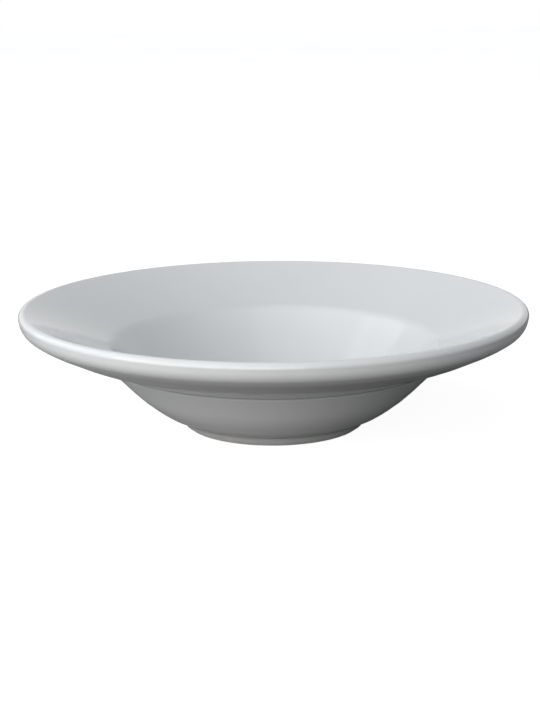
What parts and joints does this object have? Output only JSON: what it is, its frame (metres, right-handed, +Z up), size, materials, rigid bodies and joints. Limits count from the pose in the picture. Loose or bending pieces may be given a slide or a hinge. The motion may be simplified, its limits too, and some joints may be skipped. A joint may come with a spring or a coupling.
{
  "type": "pasta bowl",
  "caption": "Round wide-rimmed pasta bowl with a sloping flange, a thick rounded lip, a deep well and a foot ring, in white glazed porcelain.",
  "frame": {"origin": "centre of the foot ring, on the surface that the bowl stands on", "axes": "+Z up along the axis of revolution; +X and +Y are any two level directions, as the bowl is round"},
  "size_m": [0.23, 0.23, 0.0555],
  "materials": {
    "porcelain": "fired, unglazed, dry and slightly rough; shows on the foot ring only",
    "glaze": "clear glossy glaze over white porcelain"
  },
  "bodies": {
    "root": {"porcelain_body": "porcelain", "glaze_coat": "glaze", "foot_recess_glaze": "glaze"}
  },
  "joints": []
}
